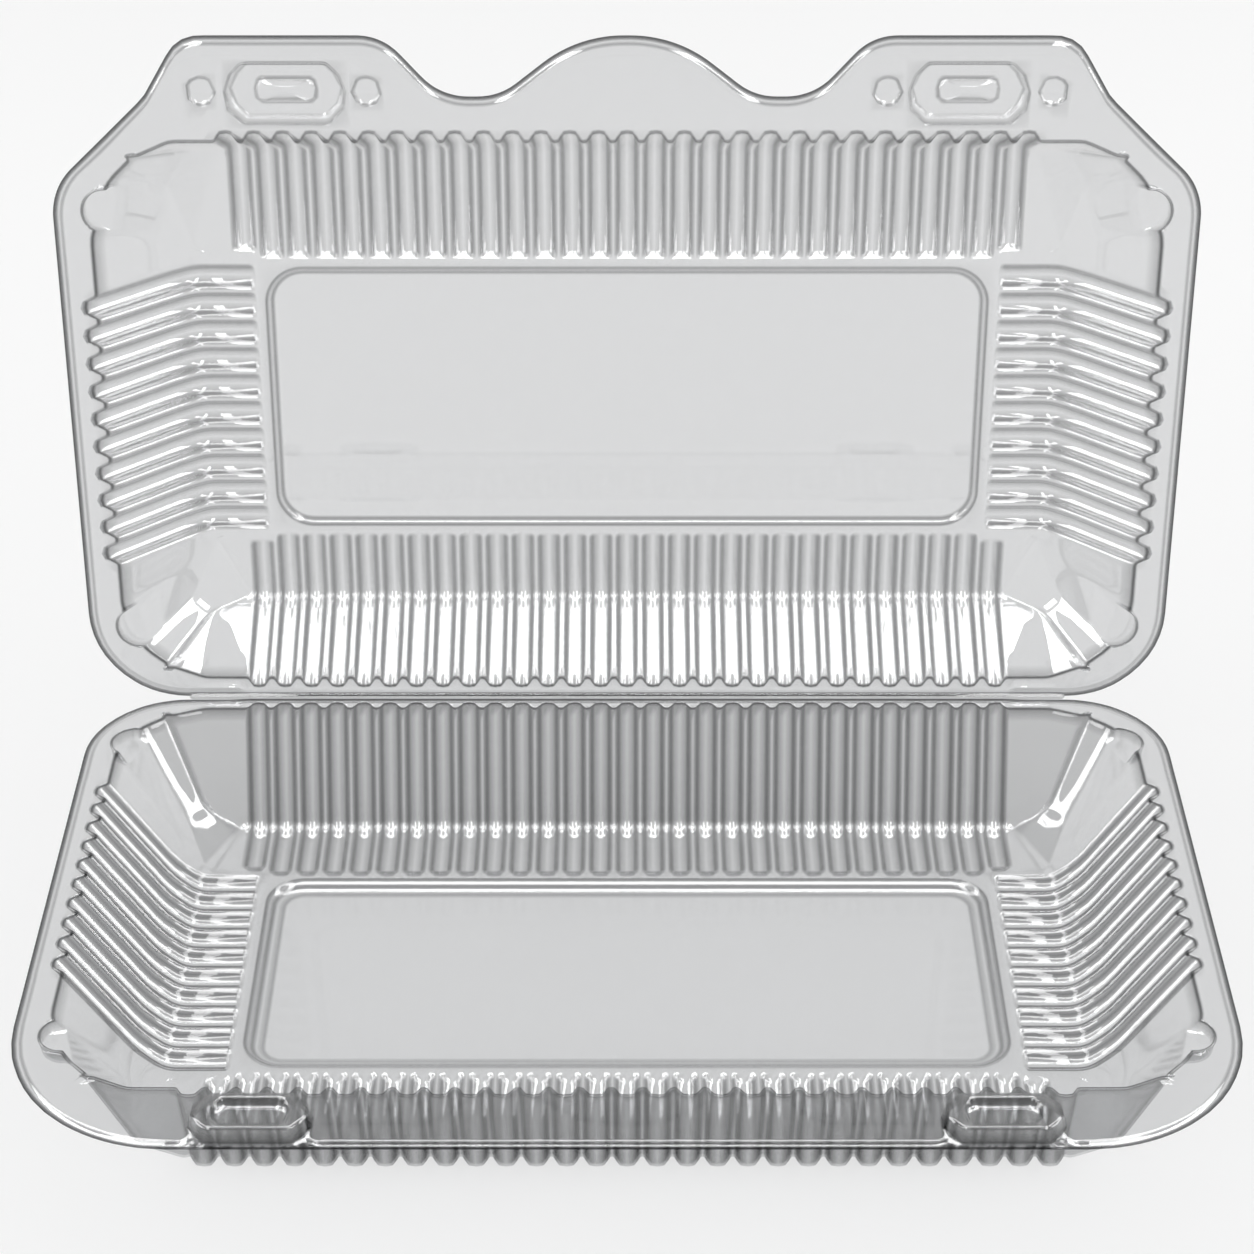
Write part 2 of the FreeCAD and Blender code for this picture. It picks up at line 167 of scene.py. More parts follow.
# Low pads beside the ends of the hinge: limits along x and t, height and slope
PAD_X, PAD_T = (83.0, 93.0), (2.0, 3.8)
PAD_HEIGHT, PAD_SLOPE = 0.5, 0.4

# Painted shade of the lip, the mouth's bend and the row under it, and the painted shade that
# darkens the base's back wall, with how many rows down from the mouth it covers
LIP_GREY, MOUTH_GREY, UNDER_MOUTH_GREY = 0.2, 1.6, 0.5
BACK_WALL_PAINTED_SHADE, BACK_WALL_SHADE_ROWS = 0.34, 10
# Painted shade along the groove in each corner
GROOVE_GREY = 0.5

# Rings of the raised latch block, the latch hood and a round button: how far past the
# flange's face, then half length, half width and corner cut, or the radius
LATCH_BLOCK = (
    (0.0, 11.6, 5.55, 3.3), (-0.25, 11.3, 5.4, 3.2), (-0.9, 11.15, 5.25, 3.1),
    (-2.7, 10.85, 4.95, 3.1), (-3.25, 10.6, 4.7, 3.0), (-3.4, 10.2, 4.3, 2.9),
    (-3.4, 7.2, 3.5, 1.6), (-3.2, 6.9, 3.2, 1.4), (-2.0, 6.7, 3.0, 1.3),
    (-1.65, 6.4, 2.7, 1.2), (-1.6, 5.9, 2.3, 1.1),
)
LATCH_HOOD = (
    (0.0, 12.35, 6.45, 3.6), (0.25, 12.0, 6.1, 3.5), (0.9, 11.85, 5.95, 3.4),
    (3.0, 11.5, 5.6, 3.4), (3.6, 11.2, 5.3, 3.3), (3.7, 10.8, 4.9, 3.2),
    (3.7, 6.8, 3.1, 1.4), (3.55, 6.3, 2.6, 1.2), (2.7, 6.1, 2.4, 1.1), (2.5, 5.8, 2.2, 1.1),
)
BUTTON = ((0.0, 3.2), (0.12, 2.9), (0.75, 2.55), (0.9, 2.2))
# Painted shade of each ring of a feature, most where it bends at the foot and the top edges
RING_GREYS = (0.2, 1.0, 0.5, 0.0, 0.6, 0.0, 0.0, 0.8, 0.4, 0.0, 0.0)
OCTAGON_POWER = 50

# Features of the front flange: centre, half width of the window that they fill, its first
# and last row, and rings
LATCH_X, LATCH_T = 69.0, 136.4
BUTTON_X, BUTTON_T = (52.5, 85.9), 137.0
FRONT_FLANGE_T = 124
BASE_FEATURES = [(side * LATCH_X, LATCH_T, 12.6, 1, 8, LATCH_BLOCK) for side in (1, -1)]
LID_FEATURES = [(side * LATCH_X, LATCH_T, 12.9, 5, 9, LATCH_HOOD) for side in (1, -1)]
LID_FEATURES += [(side * x, BUTTON_T, 3.5, 6, 8, BUTTON) for side in (1, -1) for x in BUTTON_X]

# Bead along the hinge line: half its length, its radius and its even painted shade
HINGE_HALF, HINGE_RADIUS, HINGE_GREY = 96.2, 0.8, 0.3

WELD_DISTANCE = 2e-6
SHARP_ANGLE = math.radians(50)

# Clear plastic: what a flat place lets through of light on its way to the floor, what it lets
# through on the way to the eye, what a grey place lets through, whether greyed at a slant or
# darkened by painted shade, and the colour of its gloss
PASSING = (0.98, 0.981, 0.982, 1.0)
TINTED = (0.852, 0.855, 0.859, 1.0)
HAZE_AND_PAINTED_SHADE = (0.16, 0.162, 0.165, 1.0)
GLOSS_COLOUR = (0.97, 0.97, 0.97, 1.0)

# How much of it is grey and how much is gloss: everywhere, at a slant, and by the stored
# grey, which is painted shade that darkens the sheet and takes away gloss; and the share of
# the greyness that light on its way to the floor meets
FLAT_HAZE, SLANT_HAZE, EDGE_PAINTED_SHADE = 0.01, 0.30, 0.46
FLAT_GLOSS, SLANT_GLOSS, EDGE_GLOSS_LOSS = 0.07, 0.5, 0.7
SLANT_POWER = 4.0
SHADOW_SHARE = 0.15

# Stage, in metres
FLOOR_COLOUR, FLOOR_HALF, FLOOR_Z = (0.93, 0.93, 0.93, 1.0), 3, -0.0002
WHITE = (1.0, 1.0, 1.0, 1.0)
GLOW_STRENGTH, GLOW_IN_GLOSS = 1.1, 8.0
WORLD_STRENGTH = 0.92
KEY_STRENGTH, KEY_ANGLE, KEY_AIM = 0.3, 25, (0.35, 0.30, -1.0)
STRIP_HALF, STRIP_RADIUS, STRIP_LIFT, STRIP_START, STRIP_STEPS = 0.14, 1.2, 0.05, 25, 33
SIDE_STRIP_X, SIDE_STRIP_END = 0.45, 118
FRONT_STRIP_Y, BACK_STRIP_Y, LONG_STRIP_END = -0.50, 0.40, 155
CARD_X, CARD_Y, CARD_Z = 1.1, (-0.2, 0.35), (0.1, 0.7)
CAMERA_PLACE, CAMERA_TILT, CAMERA_LENS = (0.0, -0.47223, 0.40260), 56.312, 84.567
SENSOR_WIDTH = 36.0


def at_depth(plan, d):
    """Plan points, all at one depth."""
    return np.column_stack([plan, np.full(len(plan), d)])


def unit(vectors):
    """Each vector divided by its length."""
    return vectors / np.linalg.norm(vectors, axis=1, keepdims=True)


def partway(start, end, distance, most):
    """Points at a distance from start towards end, but at most a share of the way."""
    way = end - start
    length = np.maximum(np.linalg.norm(way, axis=1, keepdims=True), TINY)
    return start + way * np.minimum(distance / length, most)


def between(values, low, high):
    """One between the two limits and nothing outside, with short slopes just inside them."""
    return np.clip((values - low) / PAD_SLOPE, 0, 1) * np.clip((high - values) / PAD_SLOPE, 0, 1)


def flute_row(count, pitch):
    """Places, heights and greys along a row of flutes, eight samples in every pitch."""
    starts = (np.arange(count) - count / 2) * pitch
    places = (starts[:, None] + PITCH_PLACES * pitch).ravel()
    samples = np.stack([places, np.tile(PITCH_HEIGHTS, count), np.tile(PITCH_GREYS, count)])
    return np.column_stack([samples, (count / 2 * pitch, 0.0, 0.0)])


def corner_samples(facet_length):
    """Samples of a corner, counted in chain points passed, and how far the lug bulges at each.

    The lug's samples are evenly spaced in angle round its circle.
    """
    start = math.asin(LUG_INSET / LUG_RADIUS)
    angle = np.linspace(start, math.pi - start, LUG_SAMPLES)
    lug = LUG_MIDDLE - LUG_RADIUS * np.cos(angle) / facet_length
    bulge = LUG_RADIUS * np.sin(angle) - LUG_INSET
    before = np.append(BEFORE_LUG, (BEFORE_LUG[-1] + lug[0]) / 2)
    after = np.append((AFTER_LUG[0] + lug[-1]) / 2, AFTER_LUG)
    samples = np.concatenate([before, lug, after])
    bulges = np.concatenate([np.zeros(len(before)), bulge, np.zeros(len(after))])
    return samples, bulges


def corner_chain(side, wall, wall_t, fractions):
    """Chain of six plan points from the end of the side flutes to that of the long flutes."""
    start_t = SIDE_MIDDLE + (SIDE_SPAN if wall == "front" else -SIDE_SPAN)
    parts = np.array([(1.0, 0.0), *fractions, (0.0, 1.0)])
    x = LONG_SPAN + (side - LONG_SPAN) * parts[:, 0]
    t = start_t + (wall_t - start_t) * parts[:, 1]
    return np.stack([x, t], axis=1)


def along_chain(chain, samples):
    """Plan points at the samples, each bend softened by averaging three places a little apart."""
    index = np.arange(len(chain))
    place = np.clip(samples + SOFTENING * np.array([[-1], [0], [1]]), 0, len(chain) - 1)
    x = np.interp(place, index, chain[:, 0]).mean(axis=0)
    t = np.interp(place, index, chain[:, 1]).mean(axis=0)
    return np.stack([x, t], axis=1)


def facet_of(wall, wall_t):
    """Length and outward plan direction of the long facet of a mouth corner."""
    chain = corner_chain(MOUTH_SIDE, wall, wall_t, MOUTH_CORNER)
    run = chain[2] - chain[1]
    length = float(np.hypot(*run))
    sign = 1.0 if wall == "front" else -1.0
    return length, np.array([abs(run[1]), sign * abs(run[0])]) / length


def columns(back, back_corner, side, front_corner, front):
    """One array over the right half's columns, from the middle of the back to that of the front."""
    return np.concatenate([back, back_corner[::-1], side, front_corner, front[::-1]])


LONG_ROW = flute_row(LONG_FLUTES, LONG_PITCH)
LONG_PLACES, LONG_HEIGHTS, LONG_GREYS = LONG_ROW[:, LONG_ROW[0] > -TINY]
SIDE_PLACES, SIDE_HEIGHTS, SIDE_GREYS = flute_row(SIDE_FLUTES, SIDE_PITCH)
FRONT_FACET, FRONT_OUT = facet_of("front", MOUTH_FRONT)
BACK_FACET, BACK_OUT = facet_of("back", MOUTH_BACK)
FRONT_SAMPLES, FRONT_BULGE = corner_samples(FRONT_FACET)
BACK_SAMPLES, BACK_BULGE = corner_samples(BACK_FACET)

# Ones for the columns of a long wall, a side wall and the two corners
LONG_ONE, SIDE_ONE = np.ones(len(LONG_PLACES)), np.ones(len(SIDE_PLACES))
FRONT_ONE, BACK_ONE = np.ones(len(FRONT_SAMPLES)), np.ones(len(BACK_SAMPLES))

# For every column: a flute's height, its painted shade, the way out of its wall, the groove's
# share, how far the lug bulges, whether it is in a corner, whether it is nearer the front, and
# whether it is nearer the back, where the base's back wall gets more painted shade
HEIGHT = columns(LONG_HEIGHTS, 0 * BACK_ONE, SIDE_HEIGHTS, 0 * FRONT_ONE, LONG_HEIGHTS)
GREY = columns(LONG_GREYS, 0 * BACK_ONE, SIDE_GREYS, 0 * FRONT_ONE, LONG_GREYS)
OUT = np.stack([
    columns(0 * LONG_ONE, 0 * BACK_ONE, SIDE_ONE, 0 * FRONT_ONE, 0 * LONG_ONE),
    columns(-LONG_ONE, 0 * BACK_ONE, 0 * SIDE_ONE, 0 * FRONT_ONE, LONG_ONE),
], axis=1)
GROOVE = columns(
    0 * LONG_ONE, np.exp(-((BACK_SAMPLES - GROOVE_PLACE) / GROOVE_WIDTH) ** 2), 0 * SIDE_ONE,
    np.exp(-((FRONT_SAMPLES - GROOVE_PLACE) / GROOVE_WIDTH) ** 2), 0 * LONG_ONE,
)
BULGE = columns(
    np.outer(0 * LONG_ONE, BACK_OUT), np.outer(BACK_BULGE, BACK_OUT), np.outer(0 * SIDE_ONE, FRONT_OUT),
    np.outer(FRONT_BULGE, FRONT_OUT), np.outer(0 * LONG_ONE, FRONT_OUT),
)
IN_CORNER = columns(0 * LONG_ONE, BACK_ONE, 0 * SIDE_ONE, FRONT_ONE, 0 * LONG_ONE) > 0.5
IN_FRONT = np.arange(len(HEIGHT)) > len(LONG_PLACES) + len(BACK_SAMPLES) + len(SIDE_PLACES) / 2
BACK_SHADE_COLUMNS = np.arange(len(HEIGHT)) < len(LONG_PLACES) + len(BACK_SAMPLES) / 2


def long_line(t):
    """Plan points of a long wall's columns at the given places from the hinge."""
    return np.stack([LONG_PLACES, t * LONG_ONE], axis=1)


def side_line(x):
    """Plan points of a side wall's columns at the given place along the pack."""
    return np.stack([x * SIDE_ONE, SIDE_MIDDLE + SIDE_PLACES], axis=1)


def level(side, front, back, fractions, d):
    """One level of the right half: straight along the walls, softened chains in the corners."""
    back_corner = along_chain(corner_chain(side, "back", back, fractions), BACK_SAMPLES)
    front_corner = along_chain(corner_chain(side, "front", front, fractions), FRONT_SAMPLES)
    plan = columns(long_line(back), back_corner, side_line(side), front_corner, long_line(front))
    return at_depth(plan, d)


def bend(before, at, after, reach, steps):
    """Rows of a rounded bend: a quadratic curve that leaves each straight run at the reach."""
    start = partway(at, before, reach, LONGEST_REACH)
    end = partway(at, after, reach, LONGEST_REACH)
    return [(1 - s) ** 2 * start + 2 * s * (1 - s) * at + s * s * end for s in steps]


def slot_end(extra):
    """Plan of the right half where the floor slots end, less the extra length.

    The last slot of a long row is shorter, and the columns of a corner gather in one point.
    """
    back, front = PANEL_BACK - COLLAR, PANEL_FRONT + COLLAR
    short = LAST_SLOT_SHORT * (LONG_PLACES > LONG_SPAN - LONG_PITCH)
    back_corner = np.outer(BACK_ONE, (GATHER_X, back - GATHER_GAP))
    front_corner = np.outer(FRONT_ONE, (GATHER_X, front + GATHER_GAP))
    return columns(
        long_line(back - extra - short), back_corner, side_line(PANEL_SIDE + COLLAR + extra),
        front_corner, long_line(front + extra + short),
    )


def wall_path(depth):
    """Rows of the right half before its flutes, from the mouth to the slot ends.

    They lie on straight runs between the levels of mouth, knee, floor and slot ends, with a
    bend at the knee and one at the floor. Also gives the share of the wall that each row above
    the knee has passed, and the plan direction in which each column leans out.
    """
    knee_d = depth - KNEE_DROP
    fall = knee_d / depth
    mouth = level(
        MOUTH_SIDE - SIDE_DRAFT * FACE / knee_d, MOUTH_FRONT - FRONT_DRAFT * FACE / depth,
        MOUTH_BACK + BACK_DRAFT * FACE / depth, MOUTH_CORNER, FACE,
    )
    knee = level(
        MOUTH_SIDE - SIDE_DRAFT, MOUTH_FRONT - FRONT_DRAFT * fall,
        MOUTH_BACK + BACK_DRAFT * fall, KNEE_CORNER, knee_d,
    )
    floor = level(
        MOUTH_SIDE - SIDE_DRAFT - KNEE_RUN, MOUTH_FRONT - FRONT_DRAFT,
        MOUTH_BACK + BACK_DRAFT, FLOOR_CORNER, depth,
    )
    slots = [at_depth(slot_end(extra), depth) for extra, _ in SLOT_ROWS]
    lug = LUG_DEPTH / (knee_d - FACE)
    first = BELOW_MOUTH / (knee_d - FACE)
    passed = np.array([0.0, first, lug - LUG_SHELF, lug + LUG_SHELF, *WALL_SHARES])
    rows = [mouth + (knee - mouth) * share for share in passed]
    rows += bend(mouth, knee, floor, KNEE_REACH, KNEE_STEPS)
    rows += bend(knee, floor, slots[0], FLOOR_REACH, FLOOR_STEPS)
    return np.stack(rows + slots), passed, unit(mouth[:, :2] - floor[:, :2])


def wall_rows(depth):
    """Rows of the right half from the mouth down the wall, round the knee and to the slot ends.

    Each flute stands out from the wall along the section's own normal. Near the mouth it also
    slides along the wall, so that the scalloped edge stays in the plane of the flange. A lug
    stands straight out of the mouth's plan. Also gives that plan without flutes, and the greys.
    """
    path, passed, lean = wall_path(depth)
    mouth = path[0, :, :2]
    out = (path[:, :, :2] * OUT).sum(axis=2)
    run_out, run_down = np.gradient(out, axis=0), np.gradient(path[:, :, 2], axis=0)
    length = np.maximum(np.hypot(run_out, run_down), TINY)
    run_out, run_down = run_out / length, run_down / length

    share = np.ones((len(path), 1))
    share[-len(SLOT_ROWS):, 0] = [slot_share for _, slot_share in SLOT_ROWS]
    height = HEIGHT * share
    slide_share = np.zeros((len(path), 1))
    slide_share[:len(passed), 0] = 1 - passed
    slide = slide_share * height * run_out / np.maximum(run_down, LEAST_FALL)
    moved = path.copy()
    moved[:, :, :2] += OUT * (height * run_down + slide * run_out)[:, :, None]
    moved[:, :, 2] += -height * run_out + slide * run_down

    last_knee_row = len(passed) + len(KNEE_STEPS) - 1
    fade = np.clip(GROOVE_FADE * (1 - np.arange(len(path)) / last_knee_row), 0, 1)
    groove = GROOVE_DEPTH * np.outer(fade, GROOVE)
    moved[:, :, :2] += groove[:, :, None] * lean
    bulged = BULGE.any(axis=1)
    for row, shrink in enumerate(LUG_SHRINK):
        moved[row, bulged, :2] = mouth[bulged] + BULGE[bulged] * shrink
    return moved, mouth, GREY * share + GROOVE_GREY * groove


def panel_rows(depth, steps):
    """Rows of the right half from the collar round the panel, over its stepped edge, to its middle.

    A ring is the nearest point of the panel's core rectangle plus the direction from it.
    """
    side, back, front = PANEL_SIDE + COLLAR, PANEL_BACK - COLLAR, PANEL_FRONT + COLLAR
    collar = np.clip(slot_end(0.0), (0.0, back), (side, front))
    collar[IN_CORNER, 0] = side
    collar[IN_CORNER, 1] = np.where(IN_FRONT, front, back)[IN_CORNER]
    core_low = (0.0, PANEL_BACK + PANEL_CORNER)
    core_high = (PANEL_SIDE - PANEL_CORNER, PANEL_FRONT - PANEL_CORNER)
    core = np.clip(collar, core_low, core_high)
    away = unit(collar - core)
    rows = [at_depth(collar, depth)]
    for grow, drop, _ in steps:
        rows.append(at_depth(core + away * (PANEL_CORNER + grow), depth + drop))
    middle = np.stack([core[:, 0] * MIDDLE_LINE, np.full(len(core), PANEL_MIDDLE)], axis=1)
    rows.append(at_depth(middle, depth + steps[-1][1]))
    return np.stack(rows)


def rounded_chain(corners, radii):
    """Plan points of an open chain of corners, each inner one turned to its radius."""
    corners = np.array(corners, dtype=float)
    pieces = [corners[:1]]
    for last, at, following, radius in zip(corners, corners[1:], corners[2:], radii):
        back, ahead = last - at, following - at
        back, ahead = back / np.hypot(*back), ahead / np.hypot(*ahead)
        half = math.acos(float(np.clip(back @ ahead, -1, 1))) / 2
        middle = at + (back + ahead) / np.hypot(*(back + ahead)) * radius / math.sin(half)
        start = at + back * radius / math.tan(half) - middle
        end = at + ahead * radius / math.tan(half) - middle
        turn = math.pi - 2 * half
        s = np.linspace(0, 1, ARC_STEPS)[:, None] * turn
        pieces.append(middle + (start * np.sin(turn - s) + end * np.sin(s)) / math.sin(turn))
    pieces.append(corners[-1:])
    return np.concatenate(pieces)


def outline_points(chain):
    """Outline point of every column: straight out from a wall, evenly spaced round a corner.

    The outline is straight, and as far out as it goes, all along the side wall.
    """
    length = np.append(0, np.cumsum(np.hypot(*np.diff(chain, axis=0).T)))
    widest = int(np.argmax(chain[:, 0] > chain[:, 0].max() - TINY))
    back = np.interp(LONG_PLACES, chain[:widest + 1, 0], length[:widest + 1])
    front = np.interp(LONG_PLACES, chain[widest:, 0][::-1], length[widest:][::-1])
    side = length[widest] + (SIDE_MIDDLE + SIDE_PLACES - chain[widest, 1])
    back_corner = side[0] + (back[-1] - side[0]) * BACK_SAMPLES / CHAIN_END
    front_corner = side[-1] + (front[-1] - side[-1]) * FRONT_SAMPLES / CHAIN_END
    place = columns(back, back_corner, side, front_corner, front)
    x = np.interp(place, length, chain[:, 0])
    t = np.interp(place, length, chain[:, 1])
    return np.stack([x, t], axis=1)


def flange_rows(outline, walls, mouth_line, across):
    """Rows of the right half from the flange edge, over its bead and across to the mouth's bend.

    The last full row runs clear of the scallops and lugs; the lip then follows their shape.
    """
    lip = at_depth(partway(walls[0, :, :2], outline, *LIP), FACE)
    span = partway(mouth_line + OUT * SCALLOP_REACH + BULGE, outline, *CLEAR) - outline
    reach = np.maximum(np.linalg.norm(span, axis=1, keepdims=True), NARROW_FLANGE)
    rows = [at_depth(outline + span * place / reach, FACE + drop) for place, drop, _ in BEAD_ROWS]
    start = BEAD_ROWS[-1][0] / reach
    rows += [at_depth(outline + span * (start + (1 - start) * part), FACE) for part in across]
    rows.append(lip)
    rows.append(0.25 * lip + 0.5 * walls[0] + 0.25 * walls[1])
    rows = np.stack(rows)
    rows[:, :, 2] += PAD_HEIGHT * between(rows[:, :, 0], *PAD_X) * between(rows[:, :, 1], *PAD_T)
    return rows


def grey_rows(wall_greys, across_count, steps, back_wall_painted_shade):
    """How grey each point of the right half looks, row by row: flange, walls, then panel."""
    # Every grey here is painted shade, stored for the material
    flange = [grey for _, _, grey in BEAD_ROWS] + [0.0] * across_count + [LIP_GREY, MOUTH_GREY]
    walls = wall_greys[1:].copy()
    walls[0] = np.maximum(walls[0], UNDER_MOUTH_GREY)
    # Painted shade: the base's back wall is made darker, down from the mouth
    walls[:BACK_WALL_SHADE_ROWS] += back_wall_painted_shade * BACK_SHADE_COLUMNS
    panel = [0.0] + [grey for _, _, grey in steps] + [0.0]
    every_column = np.ones(len(HEIGHT))
    return np.concatenate([np.outer(flange, every_column), walls, np.outer(panel, every_column)])


def whole_ring(rows):
    """Rows of the right half closed into a whole ring by the same columns in reverse."""
    return np.concatenate([rows, rows[:, -2:0:-1]], axis=1)


def half_grid(depth, outline, across, steps, back_wall_painted_shade):
    """Grid of one whole half, rows by columns by coordinates, and the greys of its points."""
    walls, mouth_line, wall_greys = wall_rows(depth)
    flange = flange_rows(outline_points(outline), walls, mouth_line, across)
    grid = whole_ring(np.concatenate([flange, walls[1:], panel_rows(depth, steps)]))
    grid[:, len(HEIGHT):, 0] *= -1
    return grid, whole_ring(grey_rows(wall_greys, len(across), steps, back_wall_painted_shade))


def grid_faces(first, keep):
    """Quads between neighbouring rows and columns of a closed ring, where keep is true."""
    row, column = np.nonzero(keep)
    column_count = keep.shape[1]
    following = (column + 1) % column_count
    here, below = first + row * column_count, first + (row + 1) * column_count
    return np.stack([here + column, here + following, below + following, below + column], axis=1)


def octagon(direction, half_x, half_t, cut):
    """Distance from the middle to a rectangle with cut corners, along each plan direction.

    The three nearest sides are blended by a high power, which softens the corners a little.
    """
    a = np.abs(direction[:, 0]) / half_x
    b = np.abs(direction[:, 1]) / half_t
    c = np.abs(direction).sum(axis=1) / (half_x + half_t - cut)
    return (a ** OCTAGON_POWER + b ** OCTAGON_POWER + c ** OCTAGON_POWER) ** (-1 / OCTAGON_POWER)


def raised_patch(loop, centre, rings):
    """Rings of a raised or sunk feature, from the loop of the window it fills to its centre.

    Each point of the loop keeps its direction from the centre, and a ring gives its distance:
    that of an octagon, or one radius.
    """
    away = unit(loop[:, :2] - centre)
    rows = [loop]
    for drop, *sizes in rings:
        reach = octagon(away, *sizes) if len(sizes) > 1 else np.full(len(loop), sizes[0])
        rows.append(at_depth(centre + away * reach[:, None], FACE + drop))
    rows.append(at_depth(np.tile(centre, (len(loop), 1)), FACE + rings[-1][0]))
    return np.stack(rows)


def window(grid, x_low, x_high, row_low, row_high):
    """Columns of the front flange between two places along x, and the loop of that window."""
    middle = grid[(row_low + row_high) // 2]
    x = np.where(middle[:, 1] > FRONT_FLANGE_T, middle[:, 0], np.inf)
    first = int(np.argmin(np.abs(x - x_high)))
    last = int(np.argmin(np.abs(x - x_low)))
    outer = grid[row_low, first:last + 1]
    left = grid[row_low:row_high + 1, last]
    inner = grid[row_high, first:last + 1][::-1]
    right = grid[row_low:row_high + 1, first][::-1]
    return first, last, np.concatenate([outer[:-1], left[:-1], inner[:-1], right[:-1]])


def with_features(grid, greys, features):
    """Points, quads and greys of the grid, with a window cut for each feature and filled by it."""
    keep = np.ones((len(grid) - 1, grid.shape[1]), dtype=bool)
    points, point_greys, patch_faces = [grid.reshape(-1, 3)], [greys.ravel()], []
    total = len(points[0])
    for centre_x, centre_t, half_width, row_low, row_high, rings in features:
        x_low, x_high = centre_x - half_width, centre_x + half_width
        first, last, loop = window(grid, x_low, x_high, row_low, row_high)
        keep[row_low:row_high, first:last] = False
        patch = raised_patch(loop, np.array([centre_x, centre_t]), rings)
        patch_faces.append(grid_faces(total, np.ones((len(patch) - 1, len(loop)), dtype=bool)))
        points.append(patch.reshape(-1, 3))
        point_greys.append(np.repeat([0.0, *RING_GREYS[:len(rings)], 0.0], len(loop)))
        total += len(points[-1])
    faces = np.concatenate([grid_faces(0, keep), *patch_faces])
    return np.concatenate(points), faces, np.concatenate(point_greys)


def mesh_object(name, points, faces, greys):
    """Object made of the points and quads, with coincident points welded and smooth shading."""
    mesh = bpy.data.meshes.new(name)
    mesh.from_pydata(points.tolist(), [], faces.tolist())
    # The greys are stored as painted shade, which darkens the sheet and takes away its gloss
    layer = mesh.attributes.new("edge", "FLOAT", "POINT")
    layer.data.foreach_set("value", greys.astype(np.float32))
    shape = bmesh.new()
    shape.from_mesh(mesh)
    bmesh.ops.remove_doubles(shape, verts=shape.verts, dist=WELD_DISTANCE)
    shape.to_mesh(mesh)
    shape.free()
    mesh.shade_smooth()
    mesh.set_sharp_from_angle(angle=SHARP_ANGLE)
    piece = bpy.data.objects.new(name, mesh)
    bpy.context.scene.collection.objects.link(piece)
    return piece


def base_place(p):
    """World place, in millimetres, of the base's sheet coordinates."""
    return np.column_stack([p[:, 0], HINGE_Y - p[:, 1], HINGE_Z - p[:, 2]])


def lid_place(p):
    """World place, in millimetres, of the lid's sheet coordinates, leaning back on its hinge."""
    cos, sin = math.cos(LID_ANGLE), math.sin(LID_ANGLE)
    y = HINGE_Y + p[:, 1] * cos + p[:, 2] * sin
    return np.column_stack([p[:, 0], y, HINGE_Z + p[:, 1] * sin - p[:, 2] * cos])


def thicken(piece):
    """Gives the sheet its second skin and its edge."""
    shell = piece.modifiers.new("sheet", "SOLIDIFY")
    shell.thickness = SHEET / PER_METRE
    shell.offset = -1.0
    shell.use_rim = True


def tube(name, half_length, radius, around=20, along=9):
    """Round bead along the hinge line with domed ends.

    The angle turns round the axis; the other parameter runs along it, and near each end the
    radius falls as the cosine while the place runs out as the sine.
    """
    turn = np.linspace(0, 2 * math.pi, around + 1)[:-1]
    dome = np.linspace(0, math.pi / 2, along)
    reach = radius * np.concatenate([np.cos(dome[::-1]), np.cos(dome)])
    right_end = half_length + radius * np.sin(dome)
    x = np.concatenate([-right_end[::-1], right_end])
    y = HINGE_Y + np.outer(reach, np.cos(turn))
    z = HINGE_Z + np.outer(reach, np.sin(turn))
    points = np.stack([np.repeat(x[:, None], around, axis=1), y, z], axis=2).reshape(-1, 3)
    faces = grid_faces(0, np.ones((len(x) - 1, around), dtype=bool))
    # Every point of the bead gets the same painted shade
    return mesh_object(name, points / PER_METRE, faces, np.full(len(points), HINGE_GREY))


class Number:
    """A shader number: a socket, or what arithmetic on sockets gives."""

    def __init__(self, tree, socket):
        self.tree, self.socket = tree, socket

    def _math(self, operation, first, second):
        node = self.tree.nodes.new("ShaderNodeMath")
        node.operation = operation
        for index, value in enumerate((first, second)):
            if isinstance(value, Number):
                self.tree.links.new(value.socket, node.inputs[index])
            else:
                node.inputs[index].default_value = value
        return Number(self.tree, node.outputs[0])

    def __add__(self, other):
        return self._math("ADD", self, other)

    def __radd__(self, other):
        return self._math("ADD", other, self)

    def __rsub__(self, other):
        return self._math("SUBTRACT", other, self)

    def __mul__(self, other):
        return self._math("MULTIPLY", self, other)

    def __rmul__(self, other):
        return self._math("MULTIPLY", other, self)

    def __pow__(self, other):
        return self._math("POWER", self, other)


def shader(tree, kind, inputs, output=0, **settings):
    """One output of a new node, its settings made first and then its inputs set or linked."""
    node = tree.nodes.new(kind)
    for key, value in settings.items():
        setattr(node, key, value)
    for key, value in inputs.items():
        if isinstance(value, Number):
            tree.links.new(value.socket, node.inputs[key])
        elif isinstance(value, bpy.types.NodeSocket):
            tree.links.new(value, node.inputs[key])
        else:
            node.inputs[key].default_value = value
    return node.outputs[output]


def new_material(name):
    """Empty material and its tree, with the surface socket to link to."""
    material = bpy.data.materials.new(name)
    material.use_nodes = True
    tree = material.node_tree
    tree.nodes.clear()
    end = tree.nodes.new("ShaderNodeOutputMaterial")
    return material, tree, end.inputs["Surface"]


